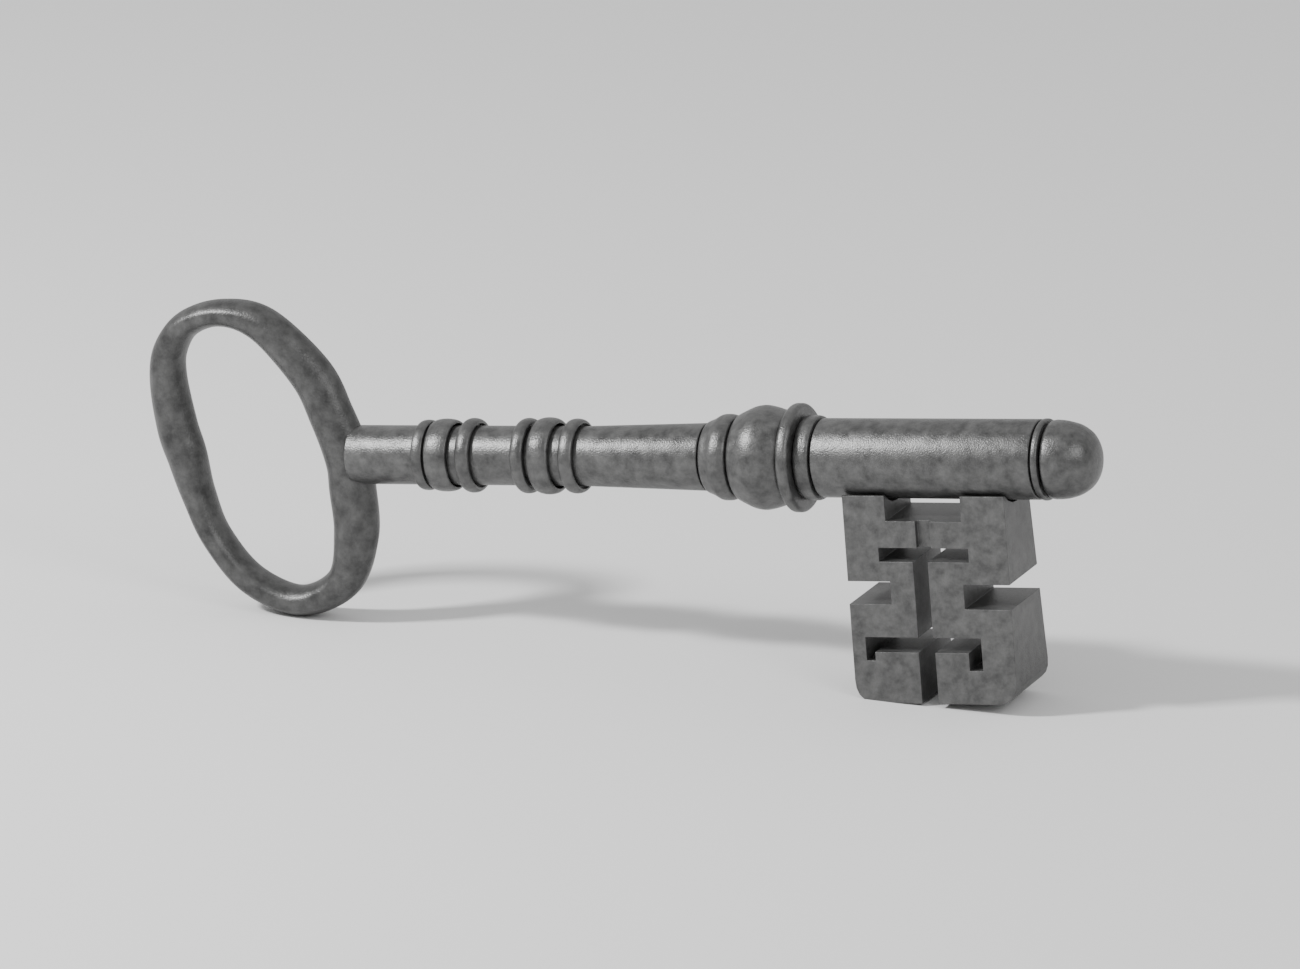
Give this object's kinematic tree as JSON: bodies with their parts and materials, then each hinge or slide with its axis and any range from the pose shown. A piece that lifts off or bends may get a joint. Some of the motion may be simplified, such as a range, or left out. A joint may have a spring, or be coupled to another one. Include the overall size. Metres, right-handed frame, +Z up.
{
  "type": "pin key",
  "caption": "Old-style pin key with an oval ring bow, moulded shank, bulbous knop, thick round barrel, domed tip and a warded wedge bit.",
  "frame": {"origin": "centre of the bounding box in X and Y, at the level the key stands on", "axes": "+X towards the tip, +Z up; the key's own axis is pitched up a few degrees towards the tip, as it stands on the bit and the bow"},
  "size_m": [0.1778, 0.0188, 0.0562],
  "materials": {
    "bow_iron": "worn dark satin",
    "turned_iron": "worn satin with brighter high spots",
    "bit_iron": "filed, worn satin"
  },
  "bodies": {
    "root": {"barrel": "turned_iron", "barrel_ferrule": "turned_iron", "bit": "bit_iron", "bow": "bow_iron", "flange": "turned_iron", "knop": "turned_iron", "neck_collar": "turned_iron", "nose": "turned_iron", "nose_ring": "turned_iron", "ring_a1": "turned_iron", "ring_a2": "turned_iron", "ring_a3": "turned_iron", "ring_b1": "turned_iron", "ring_b2": "turned_iron", "ring_b3": "turned_iron", "shank": "turned_iron"}
  },
  "joints": []
}
